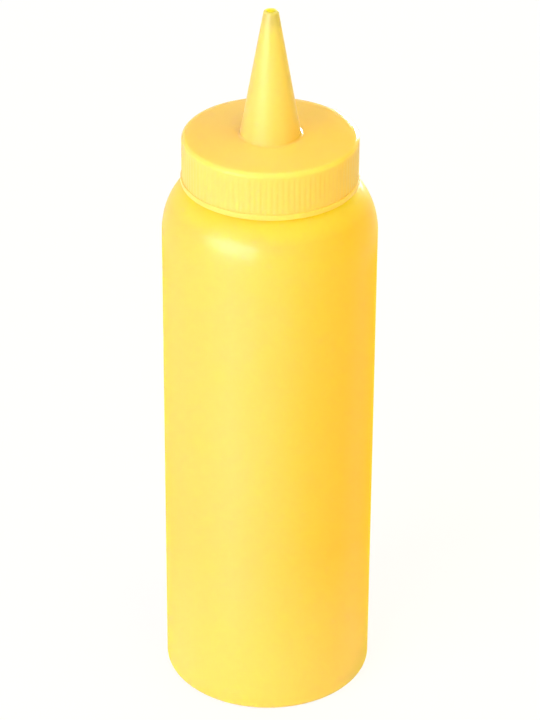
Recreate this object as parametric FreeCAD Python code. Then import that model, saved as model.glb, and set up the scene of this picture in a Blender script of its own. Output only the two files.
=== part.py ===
import FreeCAD, Part
import math
import os

# A soft plastic squeeze bottle: a blow-moulded body with a rounded shoulder and a wide neck, and an
# injection-moulded cap with a ribbed skirt, a flat deck and a hollow conical nozzle.
# Millimetres, +Z up. The origin is the centre of the foot, on the surface the bottle stands on.

# Bottle
body_diameter = 70.0
wall_height = 167.6          # foot to where the straight wall turns into the shoulder
shoulder_radius = 23.2       # radius of the shoulder's rounding, tangent to the wall
neck_diameter = 52.4
neck_height = 14.35          # shoulder to the neck's top land
neck_edge = 0.6              # chamfer of the land's outer edge
foot_round = 2.5             # rounding between the wall and the foot
foot_width = 4.0             # flat ring that the bottle stands on
push_up = 2.8                # rise of the dished base at its centre
foot_inner_round = 1.0       # rounding between the flat ring and the dish
pinch_length = 40.0          # pinched-off weld of the tube across the dished base
pinch_width = 1.2
pinch_height = 0.5

# Cap
neck_clearance = 0.5         # between the neck and the skirt, all round
shoulder_gap = 0.57          # between the shoulder and the foot of the skirt
lead_in = 0.7                # chamfer inside the foot of the skirt
skirt_wall = 1.77            # bore to the crests of the ribs
band_height = 1.95           # smooth band round the foot of the skirt
band_step = 0.33             # how far the band stands out beyond the ribs
band_foot_round = 0.5
band_top_round = 0.25
rib_count = 100
groove_width = 0.85          # groove between two ribs, at the crests
groove_root = 0.35           # and at its bottom
groove_depth = 0.3
groove_top_gap = 0.05        # from the upper ends of the grooves to the edge's rounding
groove_run_out = 0.8         # length over which a groove's upper end grows shallow
deck_thickness = 1.6
edge_width = 3.4             # outer ring of the deck that falls gently away
edge_drop = 0.35             # its fall
edge_round = 1.6             # rounding between that ring and the skirt

# Nozzle
nozzle_height = 42.45        # deck to tip
nozzle_base_diameter = 19.7  # at the deck, before the fillet
nozzle_tip_diameter = 4.7
nozzle_fillet = 0.8
tip_round = 0.25
bore_base_diameter = 17.4    # at the underside of the deck
bore_tip_diameter = 3.2

overcut = 1.0                # how far a cutting tool reaches past what it cuts

# Worked out from the above
body_radius = body_diameter / 2
neck_radius = neck_diameter / 2
shoulder_centre = body_radius - shoulder_radius


def shoulder_level(radius):
    """Height of the shoulder's surface at a distance from the axis."""
    return wall_height + math.sqrt(shoulder_radius ** 2 - (radius - shoulder_centre) ** 2)


neck_root = shoulder_level(neck_radius)
neck_land = neck_root + neck_height
skirt_bore = neck_radius + neck_clearance
skirt_crest = skirt_bore + skirt_wall
band_radius = skirt_crest + band_step
skirt_foot = shoulder_gap + max(
    shoulder_level(skirt_bore + lead_in),
    shoulder_level(skirt_bore) - lead_in,
)
band_top = skirt_foot + band_height
deck_level = neck_land + deck_thickness
edge_level = deck_level - edge_drop
tip_level = deck_level + nozzle_height

axis_foot = FreeCAD.Vector(0, 0, 0)
axis_up = FreeCAD.Vector(0, 0, 1)


def point(radius, height):
    """A point of an outline, in the plane through the axis."""
    return FreeCAD.Vector(radius, 0, height)


def polyline(points):
    """Straight edges from each point of an outline to the next."""
    return [Part.makeLine(a, b) for a, b in zip(points, points[1:])]


def turned(edges):
    """Solid made by turning a closed outline about the axis."""
    face = Part.Face(Part.Wire(edges))
    return face.revolve(axis_foot, axis_up, 360)


def rounded(solid, size, places):
    """The solid with the circular edges at the given (radius, height) places rounded."""
    tolerance = 1e-4
    picked = []
    for edge in solid.Edges:
        if edge.Degenerated or not isinstance(edge.Curve, Part.Circle):
            continue
        for radius, height in places:
            same_radius = abs(edge.Curve.Radius - radius) < tolerance
            same_height = abs(edge.Curve.Center.z - height) < tolerance
            if same_radius and same_height:
                picked.append(edge)
    if len(picked) != len(places):
        raise ValueError("an edge to round is missing")
    return solid.makeFillet(size, picked)


def bottle_blank():
    """Body, shoulder and neck as one turned solid with a flat base."""
    middle = 0.5 * math.acos((neck_radius - shoulder_centre) / shoulder_radius)
    shoulder_middle = point(
        shoulder_centre + shoulder_radius * math.cos(middle),
        wall_height + shoulder_radius * math.sin(middle),
    )
    wall_top = point(body_radius, wall_height)
    neck_foot = point(neck_radius, neck_root)
    below = polyline([point(0, neck_land), point(0, 0), point(body_radius, 0), wall_top])
    shoulder = Part.Arc(wall_top, shoulder_middle, neck_foot).toShape()
    above = polyline([
        neck_foot,
        point(neck_radius, neck_land - neck_edge),
        point(neck_radius - neck_edge, neck_land),
        point(0, neck_land),
    ])
    return rounded(turned(below + [shoulder] + above), foot_round, [(body_radius, 0)])


def dish(drop):
    """Ball whose top hollows out the base; drop lowers it."""
    reach = body_radius - foot_round - foot_width
    ball_radius = (reach ** 2 + push_up ** 2) / (2 * push_up)
    return Part.makeSphere(ball_radius, point(0, push_up - ball_radius - drop))


def bottle():
    """The closed bottle, with its dished base and the pinched-off weld across it."""
    reach = body_radius - foot_round - foot_width
    solid = bottle_blank().cut(dish(0))
    solid = rounded(solid, foot_inner_round, [(reach, 0)])
    weld = Part.makeBox(pinch_length, pinch_width, push_up + overcut)
    weld.translate(FreeCAD.Vector(-pinch_length / 2, -pinch_width / 2, 0))
    weld = weld.cut(dish(pinch_height))
    return solid.fuse(weld).removeSplitter()


def cap_blank():
    """Plain skirt, deck and solid nozzle as one turned solid, open below."""
    blank = turned(polyline([
        point(0, neck_land),
        point(skirt_bore, neck_land),
        point(skirt_bore, band_top),
        point(skirt_crest, band_top),
        point(skirt_crest, edge_level),
        point(skirt_crest - edge_width, deck_level),
        point(nozzle_base_diameter / 2, deck_level),
        point(nozzle_tip_diameter / 2, tip_level),
        point(0, tip_level),
        point(0, neck_land),
    ]))
    blank = rounded(blank, edge_round, [(skirt_crest, edge_level)])
    blank = rounded(blank, nozzle_fillet, [(nozzle_base_diameter / 2, deck_level)])
    return rounded(blank, tip_round, [(nozzle_tip_diameter / 2, tip_level)])


def foot_band():
    """Smooth band round the foot of the skirt, with the lead-in inside it."""
    band = turned(polyline([
        point(skirt_bore, band_top),
        point(skirt_bore, skirt_foot + lead_in),
        point(skirt_bore + lead_in, skirt_foot),
        point(band_radius, skirt_foot),
        point(band_radius, band_top),
        point(skirt_bore, band_top),
    ]))
    band = rounded(band, band_foot_round, [(band_radius, skirt_foot)])
    return rounded(band, band_top_round, [(band_radius, band_top)])


def nozzle_bore():
    """Tapered passage from the underside of the deck out through the tip."""
    taper = (bore_tip_diameter - bore_base_diameter) / (tip_level - neck_land)
    length = tip_level - neck_land + 2 * overcut
    low = (bore_base_diameter - overcut * taper) / 2
    high = (bore_tip_diameter + overcut * taper) / 2
    return Part.makeCone(low, high, length, point(0, neck_land - overcut))


def groove():
    """Cutter for the groove between two ribs, growing shallow at its upper end."""
    root_radius = skirt_crest - groove_depth
    mouth_radius = skirt_crest + overcut
    flare = (groove_width - groove_root) / groove_depth
    mouth_width = groove_width + overcut * flare
    top = edge_level - edge_round - groove_top_gap
    slope = groove_run_out / groove_depth
    section = Part.Face(Part.makePolygon([
        FreeCAD.Vector(root_radius, -groove_root / 2, band_top),
        FreeCAD.Vector(mouth_radius, -mouth_width / 2, band_top),
        FreeCAD.Vector(mouth_radius, mouth_width / 2, band_top),
        FreeCAD.Vector(root_radius, groove_root / 2, band_top),
        FreeCAD.Vector(root_radius, -groove_root / 2, band_top),
    ]))
    side = Part.Face(Part.makePolygon([
        FreeCAD.Vector(root_radius, -mouth_width, band_top),
        FreeCAD.Vector(mouth_radius, -mouth_width, band_top),
        FreeCAD.Vector(mouth_radius, -mouth_width, top + overcut * slope),
        FreeCAD.Vector(root_radius, -mouth_width, top - groove_run_out),
        FreeCAD.Vector(root_radius, -mouth_width, band_top),
    ]))
    upright = section.extrude(axis_up * (deck_level + overcut * slope - band_top))
    return upright.common(side.extrude(FreeCAD.Vector(0, 2 * mouth_width, 0)))


def grooves():
    """All the grooves, spaced evenly round the skirt."""
    cutter = groove()
    cutters = []
    for index in range(rib_count):
        copy = cutter.copy()
        copy.rotate(axis_foot, axis_up, index * 360 / rib_count)
        cutters.append(copy)
    return cutters


def cap():
    """The cap in one moulding: ribbed skirt, flat deck and hollow nozzle."""
    ribbed = cap_blank().cut(nozzle_bore()).cut(grooves())
    return ribbed.fuse(foot_band()).removeSplitter()


def save(node, shape):
    """Write one piece as its own STEP file."""
    solid = shape.Solids[0] if len(shape.Solids) == 1 else shape
    solid.exportStep(os.path.join("parts", node + ".step"))
    print(node, len(shape.Solids), "solid", round(shape.Volume), "mm3", shape.isValid())


os.makedirs("parts", exist_ok=True)
save("bottle", bottle())
save("cap", cap())
print("height", round(tip_level, 2), "skirt foot", round(skirt_foot, 2), "deck", round(deck_level, 2))
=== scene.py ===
"""Looks of a soft plastic squeeze bottle with a ribbed screw cap and a cone nozzle."""

import math

import bmesh
import bpy
from bpy.props import FloatProperty, FloatVectorProperty, IntProperty, PointerProperty
from mathutils import Matrix, Vector


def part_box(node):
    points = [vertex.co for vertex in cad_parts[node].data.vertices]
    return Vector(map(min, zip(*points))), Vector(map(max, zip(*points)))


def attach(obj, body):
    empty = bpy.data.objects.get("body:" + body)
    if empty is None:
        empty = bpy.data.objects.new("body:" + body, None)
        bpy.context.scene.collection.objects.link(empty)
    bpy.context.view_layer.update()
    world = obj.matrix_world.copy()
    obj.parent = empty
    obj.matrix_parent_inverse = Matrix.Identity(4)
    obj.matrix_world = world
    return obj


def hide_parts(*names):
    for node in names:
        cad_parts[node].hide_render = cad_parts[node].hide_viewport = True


bl_info = {
    "name": "Squeeze bottle",
    "version": (1, 0, 0),
    "blender": (4, 5, 0),
    "location": "3D View > Sidebar > Squeeze Bottle",
    "description": "Models a soft squeeze bottle, its ribbed nozzle cap and a small studio",
    "category": "Add Mesh",
}

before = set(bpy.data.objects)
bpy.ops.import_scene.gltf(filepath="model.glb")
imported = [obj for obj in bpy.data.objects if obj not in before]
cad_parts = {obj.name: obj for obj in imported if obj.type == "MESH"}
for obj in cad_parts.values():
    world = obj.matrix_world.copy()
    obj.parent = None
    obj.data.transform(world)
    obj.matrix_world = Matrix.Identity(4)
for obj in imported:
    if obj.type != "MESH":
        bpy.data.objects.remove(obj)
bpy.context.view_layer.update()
bottle_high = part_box("bottle")[1]
cap_low, cap_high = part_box("cap")

TINY = 2e-5


# ---------------------------------------------------------------- settings


def length(name, default, description):
    """A length that the sidebar shows in the scene's units."""
    return FloatProperty(
        name=name,
        description=description,
        default=default,
        min=0.0,
        precision=5,
        subtype="DISTANCE",
        unit="LENGTH",
    )


def count(name, default, description):
    """A whole number that the sidebar shows."""
    return IntProperty(name=name, description=description, default=default, min=1)


def share(name, default, description):
    """A number from 0 to 1."""
    return FloatProperty(
        name=name,
        description=description,
        default=default,
        min=0.0,
        max=1.0,
        subtype="FACTOR",
    )


def tint(name, default, description):
    """A colour."""
    return FloatVectorProperty(
        name=name,
        description=description,
        default=default,
        size=3,
        min=0.0,
        max=1.0,
        subtype="COLOR",
    )


def angle(name, degrees, description):
    """An angle, kept in radians and given here in degrees."""
    return FloatProperty(
        name=name,
        description=description,
        default=math.radians(degrees),
        subtype="ANGLE",
        unit="ROTATION",
    )


def plain(name, default, description):
    """A number without a unit."""
    return FloatProperty(name=name, description=description, default=default)


class BottleSettings(bpy.types.PropertyGroup):
    """Sizes of the blow-moulded bottle."""

    body_radius: length("Body radius", bottle_high[0], "Radius of the straight wall")
    neck_land: length("Neck land", bottle_high[2], "Height of the neck's top face")
    wall_height: length("Wall height", 0.1676, "Height where the shoulder begins")
    shoulder_radius: length("Shoulder radius", 0.0232, "Rounding of the shoulder")
    neck_radius: length("Neck radius", 0.0262, "Radius of the neck")
    neck_edge: length("Neck edge", 0.0006, "Chamfer of the neck's top edge")
    foot_round: length("Foot rounding", 0.0025, "Rounding between wall and foot")
    foot_width: length("Foot width", 0.004, "Flat ring the bottle stands on")
    foot_corner: length("Foot corner", 0.0004, "Softened corner inside the flat ring")
    push_up: length("Push-up", 0.0028, "Rise of the dished base")
    weld_length: length("Weld length", 0.04, "Pinched-off weld across the base")
    weld_width: length("Weld width", 0.0012, "Width of the weld")
    weld_height: length("Weld height", 0.0005, "How far the weld stands proud")
    sides: count("Sides", 288, "Facets round the bottle")


class CapSettings(bpy.types.PropertyGroup):
    """Sizes of the moulded cap and its nozzle."""

    skirt_foot: length("Skirt foot", cap_low[2], "Height of the skirt's lower edge")
    band_radius: length("Band radius", cap_high[0], "Radius of the smooth foot band")
    tip_level: length("Tip level", cap_high[2], "Height of the nozzle's tip")
    band_height: length("Band height", 0.00195, "Height of the foot band")
    band_step: length("Band step", 0.00033, "How far the band stands out")
    band_foot_round: length("Band foot rounding", 0.0005, "Rounding under the band")
    band_top_round: length("Band top rounding", 0.00025, "Rounding above the band")
    skirt_wall: length("Skirt wall", 0.00177, "Bore to the crests of the ribs")
    lead_in: length("Lead-in", 0.0007, "Chamfer inside the skirt's foot")
    rib_count: count("Ribs", 100, "Ribs round the skirt")
    groove_depth: length("Groove depth", 0.00014, "Depth between two ribs")
    groove_gap: length("Groove gap", 0.00005, "From the grooves to the edge's rounding")
    groove_run_out: length("Groove run-out", 0.0008, "Fading length of a groove's end")
    deck_thickness: length("Deck thickness", 0.0016, "Thickness of the deck")
    edge_width: length("Edge width", 0.0034, "Outer ring of the deck that falls away")
    edge_drop: length("Edge drop", 0.00035, "Fall of that ring")
    edge_round: length("Edge rounding", 0.0016, "Rounding between the ring and the skirt")
    nozzle_base: length("Nozzle base radius", 0.00985, "Radius of the nozzle's foot")
    nozzle_tip: length("Nozzle tip radius", 0.00235, "Radius of the nozzle's tip")
    nozzle_fillet: length("Nozzle fillet", 0.0008, "Rounding at the nozzle's foot")
    tip_round: length("Tip rounding", 0.00025, "Rounding of the tip's edge")
    bore_base: length("Bore base radius", 0.0087, "Bore radius under the deck")
    bore_tip: length("Bore tip radius", 0.0016, "Bore radius at the tip")


class FinishSettings(bpy.types.PropertyGroup):
    """Colours and gloss of the plastic."""

    bottle_pale: tint("Bottle colour", (1.0, 0.445, 0.15), "Yellow of the bottle")
    # The bottle's deep tint serves both its random streaks and the painted shade towards its
    # sides.
    bottle_deep: tint("Bottle shade", (1.0, 0.4, 0.02), "Its deeper streaks")
    # Painted light at the foot: the tint turns a brighter yellow towards the foot.
    painted_foot_light: tint("Foot colour", (1.0, 0.56, 0.12), "Colour of its thicker foot")
    # This height sets both the foot's lower translucency and the reach of its painted light.
    foot_reach: length("Foot reach", 0.06, "Height over which the foot's finish fades out")
    # Painted shade under the cap: the shoulder is painted a saturated yellow, as if shaded by
    # the cap and lit through it.
    painted_cap_shade: tint("Shoulder colour", (1.0, 0.56, 0.06), "Colour of its thin shoulder")
    cap_pale: tint("Cap colour", (1.0, 0.54, 0.165), "Yellow of the cap")
    # The cap's deep tint serves both its random flow marks and the painted shade towards its
    # sides.
    cap_deep: tint("Cap shade", (1.0, 0.51, 0.085), "Its deeper flow marks")
    # Painted shade: the tint deepens towards both sides from a pale line left of the middle,
    # more on the right.
    painted_shade_shift: length("Side shift", 0.012, "How far the palest line lies to the left")
    painted_shade_reach: length("Side reach", 0.036, "From that line to the full shade")
    # Heights where the painted shade under the cap begins and where it is complete.
    cap_shade_start: length("Shoulder start", 0.178, "Where the shoulder's colour begins")
    cap_shade_full: length("Shoulder full", 0.184, "Where it is complete")
    bottle_gloss: share("Bottle roughness", 0.3, "Roughness of the bottle")
    grain: share("Grain", 0.04, "How much the roughness varies either way")
    bottle_bloom: share("Bottle bloom", 0.6, "How much duller the bottle is at a low angle")
    bloom_fade: length("Bloom fade", 0.16, "Height where the bloom starts to fade")
    bloom_top: length("Bloom top", 0.172, "Height where it is gone")
    sheen: share("Sheen", 0.22, "Strength of the plastic's reflections")
    limb_sheen: share("Low-angle sheen", 0.02, "The same on the bottle at a low angle")
    cap_gloss: share("Cap roughness", 0.34, "Roughness of the cap's skirt and nozzle")
    deck_gloss: share("Deck roughness", 0.13, "Roughness of the cap's flat deck")
    deck_near: length("Deck finish", 0.0003, "Reach of the deck's roughness off its level")
    deck_far: length("Deck finish end", 0.0012, "Where the cap's own roughness is back")
    bottle_depth: length("Bottle translucency", 0.14, "How far light spreads in the bottle")
    cap_depth: length("Cap translucency", 0.004, "How far light spreads in the cap")
    tip_depth: length("Tip translucency", 0.01, "How far it spreads in the nozzle's thin tip")
    tip_start: length("Tip start", 0.0365, "Height over the deck where the tip starts")
    tip_blend: length("Tip blend", 0.004, "Height over which the tip's finish sets in")


class StudioSettings(bpy.types.PropertyGroup):
    """Camera, lamps and floor."""

    aim_height: length("Aim height", 0.1182, "Height the camera looks at")
    aim_side: length("Aim side", 0.0003, "How far the aim lies to the right")
    distance: length("Distance", 1.0325, "From the aim to the camera")
    elevation: angle("Elevation", 30.35, "Angle the camera looks down at")
    roll: angle("Roll", 0.34, "Turn of the camera about its own line of sight")
    lens: plain("Lens", 155.6, "Focal length in millimetres")
    sensor: plain("Sensor", 36.0, "Height of the sensor in millimetres")
    floor_size: length("Floor size", 8.0, "Side of the square floor")
    floor_gap: length("Floor gap", 0.0002, "How far the floor lies under the foot")
    floor_colour: tint("Floor colour", (0.9, 0.9, 0.9), "Pale grey of the floor")
    floor_white: share("Floor white", 0.85, "How much of the floor shows plain white")
    sky_light: plain("Sky light", 0.1, "Strength of the light from all round")
    sky_bright: share("Seen sky below", 0.95, "How bright the low sky looks")
    sky_dark: share("Seen sky above", 0.15, "How bright the high sky looks")
    sky_turn: share("Sky turn", 0.26, "Height in the sky where it starts to darken")
    sky_end: share("Sky end", 0.45, "Height in the sky where it is darkest")
    lamp_aim: length("Lamp aim", 0.12, "Height that the lamps point at")
    lamp_distance: length("Lamp distance", 1.3, "From that point to the lamps")
    top_distance: length("Top lamp distance", 1.25, "From that point to the top lamp")
    key_power: plain("Key lamp", 18.5, "Power of the low lamp at the front left")
    fill_power: plain("Fill lamp", 19.0, "Power of the high lamp at the front right")
    fill_colour: tint("Fill colour", (1.0, 0.92, 0.25), "Warm light of the fill lamp")
    back_power: plain("Back lamp", 9.0, "Power of the lamp behind")
    top_power: plain("Top lamp", 8.0, "Power of the lamp overhead")
    streak_power: plain("Streak lamp", 6.0, "Power of the front lamp for highlights only")
    strip_power: plain("Strip lamp", 26.0, "Power of the rear lamp for highlights only")


# ---------------------------------------------------------------- modelling tools


def start_piece(name, radius, low, high, sides):
    """Add an upright cylinder of its own size at its own place, ready for editing."""
    bpy.ops.object.select_all(action="DESELECT")
    bpy.ops.mesh.primitive_cylinder_add(
        vertices=sides,
        radius=radius,
        depth=high - low,
        end_fill_type="NGON",
        location=(0.0, 0.0, (low + high) / 2),
    )
    piece = bpy.context.object
    piece.name = name
    piece.data.name = name
    bpy.ops.object.transform_apply(location=True, rotation=True, scale=True)
    bpy.ops.object.mode_set(mode="EDIT")
    bpy.ops.mesh.select_all(action="DESELECT")
    return piece


def pick_faces(piece, test):
    """Select only the faces whose centre and normal pass a test."""
    bpy.ops.mesh.select_mode(type="FACE")
    bpy.ops.mesh.select_all(action="DESELECT")
    mesh = bmesh.from_edit_mesh(piece.data)
    found = 0
    for face in mesh.faces:
        if test(face.calc_center_bounds(), face.normal):
            face.select_set(True)
            found += 1
    bmesh.update_edit_mesh(piece.data)
    if not found:
        raise RuntimeError("no face to select on " + piece.name)


def pick_edges(piece, test):
    """Select only the edges whose two ends pass a test."""
    bpy.ops.mesh.select_mode(type="EDGE")
    bpy.ops.mesh.select_all(action="DESELECT")
    mesh = bmesh.from_edit_mesh(piece.data)
    for edge in mesh.edges:
        if test(edge.verts[0].co, edge.verts[1].co):
            edge.select_set(True)
    bmesh.update_edit_mesh(piece.data)


def pick_ring(piece, radius, height, margin=TINY):
    """Select only the ring of edges at a distance from the axis and a height."""
    bpy.ops.mesh.select_mode(type="EDGE")
    bpy.ops.mesh.select_all(action="DESELECT")
    mesh = bmesh.from_edit_mesh(piece.data)
    found = 0
    for edge in mesh.edges:
        on_ring = True
        for corner in edge.verts:
            out = math.hypot(corner.co.x, corner.co.y)
            if abs(out - radius) > margin or abs(corner.co.z - height) > margin:
                on_ring = False
        if on_ring:
            edge.select_set(True)
            found += 1
    bmesh.update_edit_mesh(piece.data)
    if not found:
        raise RuntimeError("no ring of edges to select on " + piece.name)


def pick_end(piece, height, facing):
    """Select only the flat end face on the axis at a height."""

    def is_end(centre, normal):
        on_axis = math.hypot(centre.x, centre.y) < TINY
        return on_axis and abs(centre.z - height) < TINY and normal.z * facing > 0.9

    pick_faces(piece, is_end)


def inset(width):
    """Inset the selected face by a width."""
    bpy.ops.mesh.inset(thickness=width, depth=0.0, use_even_offset=True)


def extrude(rise, radius_ratio=1.0):
    """Pull the selected face up or down and scale it about the axis."""
    bpy.ops.mesh.extrude_region_move(TRANSFORM_OT_translate={"value": (0.0, 0.0, rise)})
    if radius_ratio != 1.0:
        scale_about_axis(radius_ratio)


def scale_about_axis(ratio):
    """Scale what is selected towards or away from the axis."""
    bpy.ops.transform.resize(value=(ratio, ratio, 1.0), center_override=(0.0, 0.0, 0.0))


def move_up(rise):
    """Move what is selected up or down."""
    bpy.ops.transform.translate(value=(0.0, 0.0, rise))


def round_ring(piece, radius, height, size, segments, turn=math.pi / 2):
    """Round the ring of edges between two faces that turn by an angle, to a radius."""
    pick_ring(piece, radius, height)
    bpy.ops.mesh.bevel(
        offset_type="OFFSET",
        offset=size * math.tan(turn / 2),
        segments=segments,
        profile=0.5,
        affect="EDGES",
        clamp_overlap=False,
    )


def finish_piece(piece, material, sharp_degrees):
    """Close the edit, clean the mesh, give it its material and smooth it."""
    bpy.ops.mesh.select_mode(type="VERT")
    bpy.ops.mesh.select_all(action="SELECT")
    bpy.ops.mesh.remove_doubles(threshold=1e-6)
    bpy.ops.mesh.select_all(action="SELECT")
    bpy.ops.mesh.normals_make_consistent(inside=False)
    bpy.ops.object.mode_set(mode="OBJECT")
    piece.data.materials.clear()
    piece.data.materials.append(material)
    bpy.ops.object.select_all(action="DESELECT")
    piece.select_set(True)
    bpy.context.view_layer.objects.active = piece
    bpy.ops.object.shade_smooth_by_angle(angle=math.radians(sharp_degrees))


# ---------------------------------------------------------------- materials


PLASTIC_IOR = 1.5
SKIN_SCALE = 320.0  # noise cells to the metre in the skin's relief
SKIN_RELIEF = 0.00005
SKIN_STRENGTH = 0.25
GRAIN_SCALE = 900.0  # noise cells to the metre in the bottle's roughness
FOOT_DEPTH = 1 / 12  # translucency of the foot, as a part of the bottle's
BOTTLE_SCATTER = (1.0, 0.9, 0.02)  # how far red, green and blue light spread
CAP_SCATTER = (1.0, 0.9, 0.2)
BOTTLE_STREAKS = (30.0, 30.0, 3.0)  # noise cells to the metre across and up
CAP_STREAKS = (40.0, 40.0, 40.0)
BOTTLE_PAINTED_SHADE = 0.7  # how much of the tint's deepening is painted shade towards the sides, not random streaks
CAP_PAINTED_SHADE = 0.5


def add_node(tree, kind, place, **values):
    """Add a node, put it at a place on the sheet and set its plain values."""
    made = tree.nodes.new(kind)
    made.location = (place[0] * 200, place[1] * -180)
    for name, value in values.items():
        setattr(made, name, value)
    return made


def new_material(name):
    """An empty node material with its output node."""
    material = bpy.data.materials.new(name)
    material.use_nodes = True
    tree = material.node_tree
    tree.nodes.clear()
    output = add_node(tree, "ShaderNodeOutputMaterial", (6, 0))
    return material, tree, output


def ramp(tree, place, source, low, high, result_low, result_high):
    """Map a number from one range to another, held at its ends."""
    made = add_node(tree, "ShaderNodeMapRange", place)
    made.inputs["From Min"].default_value = low
    made.inputs["From Max"].default_value = high
    made.inputs["To Min"].default_value = result_low
    made.inputs["To Max"].default_value = result_high
    tree.links.new(source, made.inputs["Value"])
    return made.outputs["Result"]


def mix_colours(tree, place, factor, one, two):
    """Blend two colours; each is three numbers or a socket."""
    made = add_node(tree, "ShaderNodeMix", place, data_type="RGBA")
    tree.links.new(factor, made.inputs[0])
    for place_of, colour in ((6, one), (7, two)):
        if isinstance(colour, bpy.types.NodeSocket):
            tree.links.new(colour, made.inputs[place_of])
        else:
            made.inputs[place_of].default_value = (*colour, 1.0)
    return made.outputs[2]


def noise(tree, place, where, scale, detail, stretch=None):
    """Noise over the piece's own coordinates, stretched where a scale is given."""
    if stretch:
        mapping = add_node(tree, "ShaderNodeMapping", (place[0] - 1, place[1]))
        mapping.inputs["Scale"].default_value = stretch
        tree.links.new(where, mapping.inputs["Vector"])
        where = mapping.outputs["Vector"]
    made = add_node(tree, "ShaderNodeTexNoise", place)
    made.inputs["Scale"].default_value = scale
    made.inputs["Detail"].default_value = detail
    tree.links.new(where, made.inputs["Vector"])
    return made.outputs["Fac"]


def soft_plastic(name, finish, pale, deep, radius, streaks, painted_shade_share):
    """Translucent polyethylene: a tint in random streaks with painted shade towards the
    sides, soft light, a fine skin.
    """
    material, tree, output = new_material(name)
    link = tree.links.new
    shader = add_node(tree, "ShaderNodeBsdfPrincipled", (4, 0))
    shader.inputs["IOR"].default_value = PLASTIC_IOR
    shader.inputs["Specular IOR Level"].default_value = finish.sheen
    shader.inputs["Subsurface Weight"].default_value = 1.0
    shader.inputs["Subsurface Radius"].default_value = radius
    link(shader.outputs["BSDF"], output.inputs["Surface"])
    where = add_node(tree, "ShaderNodeTexCoord", (-4, 0)).outputs["Object"]
    tone = noise(tree, (-1, 0), where, 1.0, 3.0, streaks)
    place = add_node(tree, "ShaderNodeSeparateXYZ", (-3, 2))
    link(where, place.inputs["Vector"])
    across = add_node(tree, "ShaderNodeMath", (-2, -2), operation="ADD")
    across.inputs[1].default_value = finish.painted_shade_shift
    link(place.outputs["X"], across.inputs[0])
    either_way = add_node(tree, "ShaderNodeMath", (-2, -1), operation="ABSOLUTE")
    link(across.outputs[0], either_way.inputs[0])
    # Painted shade: a ramp across the piece deepens the tint towards both sides, more on the
    # right.
    side = ramp(tree, (-1, -2), either_way.outputs[0], 0.0, finish.painted_shade_reach, 0.0, 1.0)
    # The deep tint comes in partly through random streaks and partly through the painted
    # shade.
    streaks_and_shade = add_node(tree, "ShaderNodeMix", (0, 0), data_type="FLOAT")
    streaks_and_shade.inputs["Factor"].default_value = painted_shade_share
    link(tone, streaks_and_shade.inputs["A"])
    link(side, streaks_and_shade.inputs["B"])
    tint_of = mix_colours(tree, (2, 0), streaks_and_shade.outputs["Result"], pale, deep)
    link(tint_of, shader.inputs["Base Color"])
    relief = add_node(tree, "ShaderNodeBump", (2, 3))
    relief.inputs["Strength"].default_value = SKIN_STRENGTH
    relief.inputs["Distance"].default_value = SKIN_RELIEF
    link(noise(tree, (-1, 3), where, SKIN_SCALE, 2.0), relief.inputs["Height"])
    link(relief.outputs["Normal"], shader.inputs["Normal"])
    return material, tree, shader, where


def bottle_plastic(finish):
    """Blown plastic: satin, duller at a low angle, less translucent towards the foot, with
    painted light at the foot and painted shade under the cap.
    """
    material, tree, shader, where = soft_plastic(
        "bottle_plastic",
        finish,
        finish.bottle_pale,
        finish.bottle_deep,
        BOTTLE_SCATTER,
        BOTTLE_STREAKS,
        BOTTLE_PAINTED_SHADE,
    )
    link = tree.links.new
    rough = finish.bottle_gloss
    grain = noise(tree, (-1, 1), where, GRAIN_SCALE, 2.0)
    gloss = ramp(tree, (2, 1), grain, 0.0, 1.0, rough - finish.grain, rough + finish.grain)
    facing = add_node(tree, "ShaderNodeLayerWeight", (1, 5)).outputs["Facing"]
    height = add_node(tree, "ShaderNodeSeparateXYZ", (-1, 2))
    link(where, height.inputs["Vector"])
    rise = height.outputs["Z"]
    on_wall = ramp(tree, (1, 6), rise, finish.bloom_fade, finish.bloom_top, 1.0, 0.0)
    edge_on = ramp(tree, (2, 5), facing, 0.5, 1.0, 0.0, finish.bottle_bloom)
    total = add_node(tree, "ShaderNodeMath", (3, 1), operation="MULTIPLY_ADD")
    link(edge_on, total.inputs[0])
    link(on_wall, total.inputs[1])
    link(gloss, total.inputs[2])
    link(total.outputs[0], shader.inputs["Roughness"])
    sheen = ramp(tree, (2, 7), facing, 0.45, 0.95, finish.sheen, finish.limb_sheen)
    link(sheen, shader.inputs["Specular IOR Level"])
    spread = finish.bottle_depth
    depth = ramp(tree, (2, 2), rise, 0.0, finish.foot_reach, spread * FOOT_DEPTH, spread)
    link(depth, shader.inputs["Subsurface Scale"])
    # Painted light: the tint turns a brighter yellow towards the foot.
    foot_light_share = ramp(tree, (2, 4), rise, 0.0, finish.foot_reach, 1.0, 0.0)
    streaked_and_shaded = shader.inputs["Base Color"].links[0].from_socket
    graded = mix_colours(tree, (3, 4), foot_light_share, streaked_and_shaded, finish.painted_foot_light)
    # Painted shade under the cap: the shoulder's tint turns a saturated yellow towards the
    # cap.
    start, full = finish.cap_shade_start, finish.cap_shade_full
    in_cap_shade = ramp(tree, (2, 8), rise, start, full, 0.0, 1.0)
    graded = mix_colours(tree, (4, 4), in_cap_shade, graded, finish.painted_cap_shade)
    link(graded, shader.inputs["Base Color"])
    return material


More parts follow.
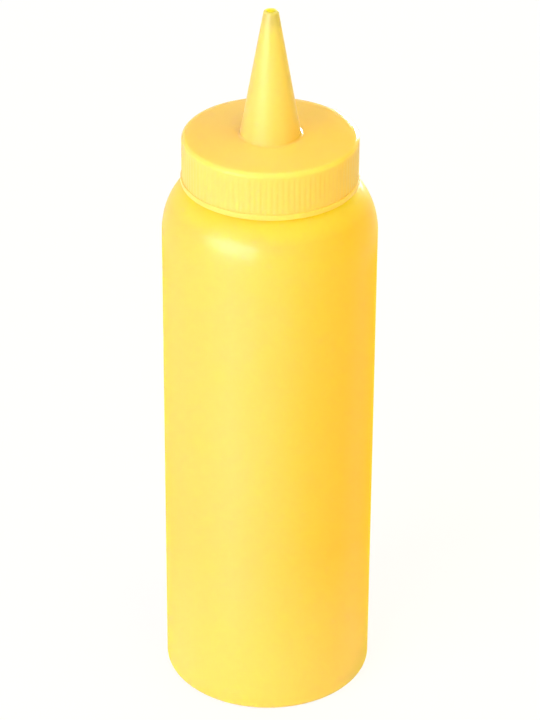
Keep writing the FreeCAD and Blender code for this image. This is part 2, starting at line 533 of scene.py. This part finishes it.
def cap_plastic(finish, deck_level):
    """Moulded plastic: satin on the skirt and the nozzle, glossy on the flat deck."""
    material, tree, shader, where = soft_plastic(
        "cap_plastic",
        finish,
        finish.cap_pale,
        finish.cap_deep,
        CAP_SCATTER,
        CAP_STREAKS,
        CAP_PAINTED_SHADE,
    )
    link = tree.links.new
    height = add_node(tree, "ShaderNodeSeparateXYZ", (-3, 1))
    link(where, height.inputs["Vector"])
    rise = height.outputs["Z"]
    tip = deck_level + finish.tip_start
    tip_full = tip + finish.tip_blend
    depth = ramp(tree, (1, 2), rise, tip, tip_full, finish.cap_depth, finish.tip_depth)
    link(depth, shader.inputs["Subsurface Scale"])
    above = add_node(tree, "ShaderNodeMath", (-2, 1), operation="SUBTRACT")
    above.inputs[1].default_value = deck_level
    link(rise, above.inputs[0])
    off_deck = add_node(tree, "ShaderNodeMath", (-1, 1), operation="ABSOLUTE")
    link(above.outputs[0], off_deck.inputs[0])
    rough = ramp(
        tree,
        (0, 1),
        off_deck.outputs[0],
        finish.deck_near,
        finish.deck_far,
        finish.deck_gloss,
        finish.cap_gloss,
    )
    link(rough, shader.inputs["Roughness"])
    return material


def seen_rays(tree):
    """Socket that is 1 for rays from the camera and for those in reflections and glass."""
    rays = add_node(tree, "ShaderNodeLightPath", (0, 0))
    seen = add_node(tree, "ShaderNodeMath", (1, 0), operation="MAXIMUM")
    seen_too = add_node(tree, "ShaderNodeMath", (2, 0), operation="MAXIMUM")
    tree.links.new(rays.outputs["Is Camera Ray"], seen.inputs[0])
    tree.links.new(rays.outputs["Is Glossy Ray"], seen.inputs[1])
    tree.links.new(seen.outputs[0], seen_too.inputs[0])
    tree.links.new(rays.outputs["Is Transmission Ray"], seen_too.inputs[1])
    return seen_too.outputs[0]


def floor_paint(colour, whiteness):
    """Plain pale floor that shows nearly white and keeps the shadow."""
    material, tree, output = new_material("floor_paint")
    matt = add_node(tree, "ShaderNodeBsdfDiffuse", (3, 1))
    matt.inputs["Color"].default_value = (*colour, 1.0)
    white = add_node(tree, "ShaderNodeEmission", (3, 2))
    white.inputs["Strength"].default_value = 1.0
    level = ramp(tree, (3, 0), seen_rays(tree), 0.0, 1.0, 0.0, whiteness)
    blend = add_node(tree, "ShaderNodeMixShader", (5, 0))
    tree.links.new(level, blend.inputs[0])
    tree.links.new(matt.outputs["BSDF"], blend.inputs[1])
    tree.links.new(white.outputs["Emission"], blend.inputs[2])
    tree.links.new(blend.outputs["Shader"], output.inputs["Surface"])
    return material


# ---------------------------------------------------------------- bottle


def shoulder_level(sizes, radius):
    """Height of the shoulder's surface at a distance from the axis."""
    centre = sizes.body_radius - sizes.shoulder_radius
    return sizes.wall_height + math.sqrt(sizes.shoulder_radius ** 2 - (radius - centre) ** 2)


def shape_shoulder(piece, sizes, crown):
    """Round the top into the shoulder and draw the neck out of it."""
    round_ring(piece, sizes.body_radius, crown, sizes.shoulder_radius, 40)
    neck_root = shoulder_level(sizes, sizes.neck_radius)
    bpy.ops.mesh.select_all(action="SELECT")
    bpy.ops.mesh.bisect(
        plane_co=(0.0, 0.0, neck_root),
        plane_no=(0.0, 0.0, 1.0),
        use_fill=True,
        clear_outer=True,
        threshold=1e-6,
    )
    pick_end(piece, neck_root, 1.0)
    extrude(sizes.neck_land - neck_root)
    round_ring(piece, sizes.neck_radius, sizes.neck_land, sizes.neck_edge, 1)


def dish_reach(sizes):
    """Radius of the dish in the base."""
    return sizes.body_radius - sizes.foot_round - sizes.foot_width


def dish_level(sizes, radius):
    """Height of the dish at a distance from the axis."""
    ball = (dish_reach(sizes) ** 2 + sizes.push_up ** 2) / (2 * sizes.push_up)
    return sizes.push_up - ball + math.sqrt(ball ** 2 - radius ** 2)


def shape_base(piece, sizes):
    """Round the foot, leave the flat ring and push the middle up into a dish."""
    round_ring(piece, sizes.body_radius, 0.0, sizes.foot_round, 8)
    pick_end(piece, 0.0, -1.0)
    inset(sizes.foot_width)
    reach = dish_reach(sizes)
    steps = 12
    level = 0.0
    for step in range(1, steps):
        inset(reach / steps)
        next_level = dish_level(sizes, reach * (1 - step / steps))
        move_up(next_level - level)
        level = next_level
    round_ring(piece, reach, 0.0, sizes.foot_corner, 2)


def join_weld(piece, sizes):
    """Lay the pinched-off weld across the dish and join it to the bottle."""
    bpy.ops.object.mode_set(mode="OBJECT")
    bpy.ops.object.select_all(action="DESELECT")
    foot = -sizes.weld_height
    crown = sizes.push_up + sizes.weld_width
    bpy.ops.mesh.primitive_cube_add(
        size=1.0,
        location=(0.0, 0.0, (foot + crown) / 2),
        scale=(sizes.weld_length, sizes.weld_width, crown - foot),
    )
    weld = bpy.context.object
    bpy.ops.object.transform_apply(location=True, rotation=True, scale=True)
    bpy.ops.object.mode_set(mode="EDIT")
    pick_edges(weld, lambda one, two: abs(one.x - two.x) > TINY)
    steps = 20
    bpy.ops.mesh.subdivide(number_cuts=steps - 1)
    bpy.ops.mesh.select_mode(type="VERT")
    for step in range(steps + 1):
        along = sizes.weld_length * (step / steps - 0.5)
        bpy.ops.mesh.select_all(action="DESELECT")
        mesh = bmesh.from_edit_mesh(weld.data)
        for corner in mesh.verts:
            if abs(corner.co.x - along) < TINY and corner.co.z < foot + TINY:
                corner.select_set(True)
        bmesh.update_edit_mesh(weld.data)
        move_up(dish_level(sizes, along))
    below = sizes.push_up

    def is_lower_border(one, two):
        low = max(one.z, two.z) < below
        side = abs(one.y - two.y) < TINY
        end = abs(abs(one.x) - sizes.weld_length / 2) < TINY and abs(one.x - two.x) < TINY
        return low and (side or end)

    pick_edges(weld, is_lower_border)
    bpy.ops.mesh.bevel(offset_type="OFFSET", offset=sizes.weld_width / 5, segments=2)
    bpy.ops.object.mode_set(mode="OBJECT")
    bpy.ops.object.select_all(action="DESELECT")
    piece.select_set(True)
    bpy.context.view_layer.objects.active = piece
    join = piece.modifiers.new("weld", "BOOLEAN")
    join.operation = "UNION"
    join.solver = "EXACT"
    join.object = weld
    bpy.ops.object.modifier_apply(modifier=join.name)
    bpy.data.objects.remove(weld)
    bpy.ops.object.mode_set(mode="EDIT")


def model_bottle(sizes, material):
    """The closed bottle as one mesh."""
    crown = sizes.wall_height + sizes.shoulder_radius
    piece = start_piece("squeeze_body", sizes.body_radius, 0.0, crown, sizes.sides)
    shape_shoulder(piece, sizes, crown)
    shape_base(piece, sizes)
    join_weld(piece, sizes)
    finish_piece(piece, material, 35)
    return piece


# ---------------------------------------------------------------- cap


GROOVE_COLUMNS = 8
GROOVE_PROFILE = {2: 0.3, 3: 0.8, 4: 1.0, 5: 0.8, 6: 0.3}


def shape_skirt(piece, sizes, band_top, edge_level):
    """Draw the skirt out of the foot band and sink the grooves between its ribs."""
    crest = sizes.band_radius - sizes.band_step
    groove_top = edge_level - sizes.edge_round - sizes.groove_gap
    full_depth_top = groove_top - sizes.groove_run_out
    pick_end(piece, band_top, 1.0)
    inset(sizes.band_step)
    extrude(full_depth_top - band_top)
    extrude(groove_top - full_depth_top)
    extrude(edge_level - groove_top)
    columns = sizes.rib_count * GROOVE_COLUMNS
    bpy.ops.mesh.select_mode(type="VERT")
    for column, share_of_depth in GROOVE_PROFILE.items():
        bpy.ops.mesh.select_all(action="DESELECT")
        mesh = bmesh.from_edit_mesh(piece.data)
        for corner in mesh.verts:
            out = math.hypot(corner.co.x, corner.co.y)
            turn = math.atan2(corner.co.y, corner.co.x) / (2 * math.pi) * columns
            in_column = round(turn) % GROOVE_COLUMNS == column
            upright = band_top - TINY < corner.co.z < full_depth_top + TINY
            if in_column and upright and abs(out - crest) < TINY:
                corner.select_set(True)
        bmesh.update_edit_mesh(piece.data)
        scale_about_axis(1.0 - share_of_depth * sizes.groove_depth / crest)


def shape_deck(piece, sizes, crest, edge_level):
    """Crown the deck with a ring that falls gently away, and round its edge."""
    pick_end(piece, edge_level, 1.0)
    inset(sizes.edge_width)
    move_up(sizes.edge_drop)
    turn = math.pi / 2 - math.atan(sizes.edge_drop / sizes.edge_width)
    round_ring(piece, crest, edge_level, sizes.edge_round, 10, turn)


def shape_nozzle(piece, sizes, crest, deck_level):
    """Draw the cone out of the deck."""
    rise = sizes.tip_level - deck_level
    lean = math.atan((sizes.nozzle_base - sizes.nozzle_tip) / rise)
    pick_end(piece, deck_level, 1.0)
    inset(crest - sizes.edge_width - sizes.nozzle_base)
    extrude(rise, sizes.nozzle_tip / sizes.nozzle_base)
    foot_turn = math.pi / 2 - lean
    round_ring(piece, sizes.nozzle_base, deck_level, sizes.nozzle_fillet, 6, foot_turn)
    round_ring(piece, sizes.nozzle_tip, sizes.tip_level, sizes.tip_round, 3)


def shape_hollow(piece, sizes, skirt_bore, neck_land):
    """Open the skirt from below, the nozzle from above, and join the two."""
    pick_end(piece, sizes.skirt_foot, -1.0)
    mouth = skirt_bore + sizes.lead_in
    inset(sizes.band_radius - sizes.band_foot_round - mouth)
    extrude(sizes.lead_in, skirt_bore / mouth)
    extrude(neck_land - sizes.skirt_foot - sizes.lead_in)
    inset(skirt_bore - sizes.bore_base)
    bpy.ops.mesh.delete(type="FACE")
    pick_end(piece, sizes.tip_level, 1.0)
    inset(sizes.nozzle_tip - sizes.tip_round - sizes.bore_tip)
    extrude(neck_land - sizes.tip_level, sizes.bore_base / sizes.bore_tip)
    bpy.ops.mesh.delete(type="FACE")
    bpy.ops.mesh.select_mode(type="VERT")
    bpy.ops.mesh.select_all(action="SELECT")
    bpy.ops.mesh.remove_doubles(threshold=TINY / 2)


def model_cap(sizes, material, neck_land):
    """The cap in one moulding, from the foot band up to the nozzle's tip."""
    band_top = sizes.skirt_foot + sizes.band_height
    deck_level = neck_land + sizes.deck_thickness
    edge_level = deck_level - sizes.edge_drop
    crest = sizes.band_radius - sizes.band_step
    columns = sizes.rib_count * GROOVE_COLUMNS
    piece = start_piece("nozzle_cap", sizes.band_radius, sizes.skirt_foot, band_top, columns)
    shape_skirt(piece, sizes, band_top, edge_level)
    shape_deck(piece, sizes, crest, edge_level)
    shape_nozzle(piece, sizes, crest, deck_level)
    round_ring(piece, sizes.band_radius, sizes.skirt_foot, sizes.band_foot_round, 4)
    round_ring(piece, sizes.band_radius, band_top, sizes.band_top_round, 3)
    shape_hollow(piece, sizes, crest - sizes.skirt_wall, neck_land)
    finish_piece(piece, material, 35)
    return piece


# ---------------------------------------------------------------- studio


def place_camera(studio):
    """Camera that looks down at the bottle from the front."""
    aim = Vector((studio.aim_side, 0.0, studio.aim_height))
    back = Vector((0.0, -math.cos(studio.elevation), math.sin(studio.elevation)))
    bpy.ops.object.camera_add()
    camera = bpy.context.object
    camera.name = "camera"
    camera.data.sensor_fit = "VERTICAL"
    camera.data.sensor_height = studio.sensor
    camera.data.lens = studio.lens
    tilt = Matrix.Rotation(math.pi / 2 - studio.elevation, 4, "X")
    roll = Matrix.Rotation(studio.roll, 4, "Z")
    camera.matrix_world = Matrix.Translation(aim + back * studio.distance) @ tilt @ roll
    bpy.context.scene.camera = camera


def add_lamp(name, power, distance, target, side, height, size, colour=(1.0, 1.0, 1.0)):
    """Soft lamp of a width and height; side is its angle from the front, to the right."""
    around = math.radians(side)
    rise = math.radians(height)
    flat = distance * math.cos(rise)
    place = Vector((
        target[0] + flat * math.sin(around),
        target[1] - flat * math.cos(around),
        target[2] + distance * math.sin(rise),
    ))
    bpy.ops.object.light_add(type="AREA", location=place)
    lamp = bpy.context.object
    lamp.name = name
    lamp.data.shape = "RECTANGLE"
    lamp.data.size, lamp.data.size_y = size
    lamp.data.energy = power
    lamp.data.color = colour
    lamp.rotation_euler = (Vector(target) - place).to_track_quat("-Z", "Y").to_euler()
    lamp.visible_camera = False
    return lamp


def light_room(studio):
    """Even light from all round; where it is seen, it is white below and darker above."""
    world = bpy.context.scene.world
    if world is None:
        world = bpy.data.worlds.new("room")
        bpy.context.scene.world = world
    world.use_nodes = True
    tree = world.node_tree
    tree.nodes.clear()
    output = add_node(tree, "ShaderNodeOutputWorld", (6, 0))
    where = add_node(tree, "ShaderNodeTexCoord", (0, 2)).outputs["Generated"]
    split = add_node(tree, "ShaderNodeSeparateXYZ", (1, 2))
    tree.links.new(where, split.inputs["Vector"])
    wall = ramp(
        tree,
        (2, 2),
        split.outputs["Z"],
        studio.sky_turn,
        studio.sky_end,
        studio.sky_bright,
        studio.sky_dark,
    )
    level = add_node(tree, "ShaderNodeMapRange", (3, 0))
    level.inputs["To Min"].default_value = studio.sky_light
    tree.links.new(wall, level.inputs["To Max"])
    tree.links.new(seen_rays(tree), level.inputs["Value"])
    glow = add_node(tree, "ShaderNodeBackground", (4, 0))
    glow.inputs["Color"].default_value = (1.0, 1.0, 1.0, 1.0)
    tree.links.new(level.outputs["Result"], glow.inputs["Strength"])
    tree.links.new(glow.outputs["Background"], output.inputs["Surface"])


class SQUEEZE_OT_stage(bpy.types.Operator):
    """Set up the floor, the lamps and the camera"""

    bl_idname = "squeeze.stage"
    bl_label = "Stage"

    def execute(self, context):
        studio = context.scene.squeeze_studio
        bpy.ops.object.select_all(action="DESELECT")
        bpy.ops.mesh.primitive_plane_add(size=studio.floor_size)
        floor = context.object
        floor.name = "floor"
        floor.location.z = -studio.floor_gap
        floor.data.materials.append(floor_paint(studio.floor_colour, studio.floor_white))
        aim = (0.0, 0.0, studio.lamp_aim)
        far = studio.lamp_distance
        key, back, top = studio.key_power, studio.back_power, studio.top_power
        strip, streak = studio.strip_power, studio.streak_power
        add_lamp("key_lamp", key, far, aim, side=-40, height=18, size=(1.15, 0.45))
        lamp = add_lamp("back_lamp", back, far, aim, side=180, height=10, size=(1.0, 0.6))
        lamp.visible_glossy = False
        add_lamp(
            "fill_lamp",
            studio.fill_power,
            far,
            aim,
            side=50,
            height=50,
            size=(1.8, 1.8),
            colour=studio.fill_colour,
        )
        near = studio.top_distance
        add_lamp("top_lamp", top, near, aim, side=0, height=90, size=(1.2, 1.2))
        lamp = add_lamp("strip_lamp", strip, far, aim, side=162, height=9, size=(0.45, 0.7))
        lamp.visible_diffuse = False
        lamp = add_lamp("streak_lamp", streak, far, aim, side=-40, height=18, size=(1.3, 0.2))
        lamp.visible_diffuse = False
        light_room(studio)
        place_camera(studio)
        context.scene.view_settings.view_transform = "Standard"
        return {"FINISHED"}


class SQUEEZE_OT_bottle(bpy.types.Operator):
    """Model the bottle with its shoulder, neck and dished base"""

    bl_idname = "squeeze.bottle"
    bl_label = "Bottle"

    def execute(self, context):
        sizes = context.scene.squeeze_bottle
        finish = context.scene.squeeze_finish
        material = bottle_plastic(finish)
        piece = model_bottle(sizes, material)
        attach(piece, "root")
        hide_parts("bottle")
        return {"FINISHED"}


class SQUEEZE_OT_cap(bpy.types.Operator):
    """Model the cap with its ribs, deck and hollow nozzle"""

    bl_idname = "squeeze.cap"
    bl_label = "Cap"

    def execute(self, context):
        sizes = context.scene.squeeze_cap
        finish = context.scene.squeeze_finish
        neck_land = context.scene.squeeze_bottle.neck_land
        material = cap_plastic(finish, neck_land + sizes.deck_thickness)
        piece = model_cap(sizes, material, neck_land)
        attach(piece, "root")
        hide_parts("cap")
        return {"FINISHED"}


class SQUEEZE_PT_panel(bpy.types.Panel):
    """Sidebar panel with the sizes, the finish and the studio"""

    bl_idname = "SQUEEZE_PT_panel"
    bl_label = "Squeeze Bottle"
    bl_space_type = "VIEW_3D"
    bl_region_type = "UI"
    bl_category = "Squeeze Bottle"

    def draw(self, context):
        scene = context.scene
        groups = (
            ("Bottle", scene.squeeze_bottle, SQUEEZE_OT_bottle),
            ("Cap", scene.squeeze_cap, SQUEEZE_OT_cap),
            ("Finish", scene.squeeze_finish, None),
            ("Studio", scene.squeeze_studio, SQUEEZE_OT_stage),
        )
        for label, group, operator in groups:
            box = self.layout.box()
            box.label(text=label)
            for name in group.__annotations__:
                box.prop(group, name)
            if operator:
                box.operator(operator.bl_idname)


classes = (
    BottleSettings,
    CapSettings,
    FinishSettings,
    StudioSettings,
    SQUEEZE_OT_stage,
    SQUEEZE_OT_bottle,
    SQUEEZE_OT_cap,
    SQUEEZE_PT_panel,
)


def register():
    """Register the classes and give the scene its settings."""
    for item in classes:
        bpy.utils.register_class(item)
    bpy.types.Scene.squeeze_bottle = PointerProperty(type=BottleSettings)
    bpy.types.Scene.squeeze_cap = PointerProperty(type=CapSettings)
    bpy.types.Scene.squeeze_finish = PointerProperty(type=FinishSettings)
    bpy.types.Scene.squeeze_studio = PointerProperty(type=StudioSettings)


def unregister():
    """Take the settings and the classes away again."""
    del bpy.types.Scene.squeeze_studio
    del bpy.types.Scene.squeeze_finish
    del bpy.types.Scene.squeeze_cap
    del bpy.types.Scene.squeeze_bottle
    for item in reversed(classes):
        bpy.utils.unregister_class(item)


def main():
    """Build the pieces and the stage."""
    register()
    bpy.ops.squeeze.bottle()
    bpy.ops.squeeze.cap()
    bpy.ops.squeeze.stage()


if __name__ == "__main__":
    main()
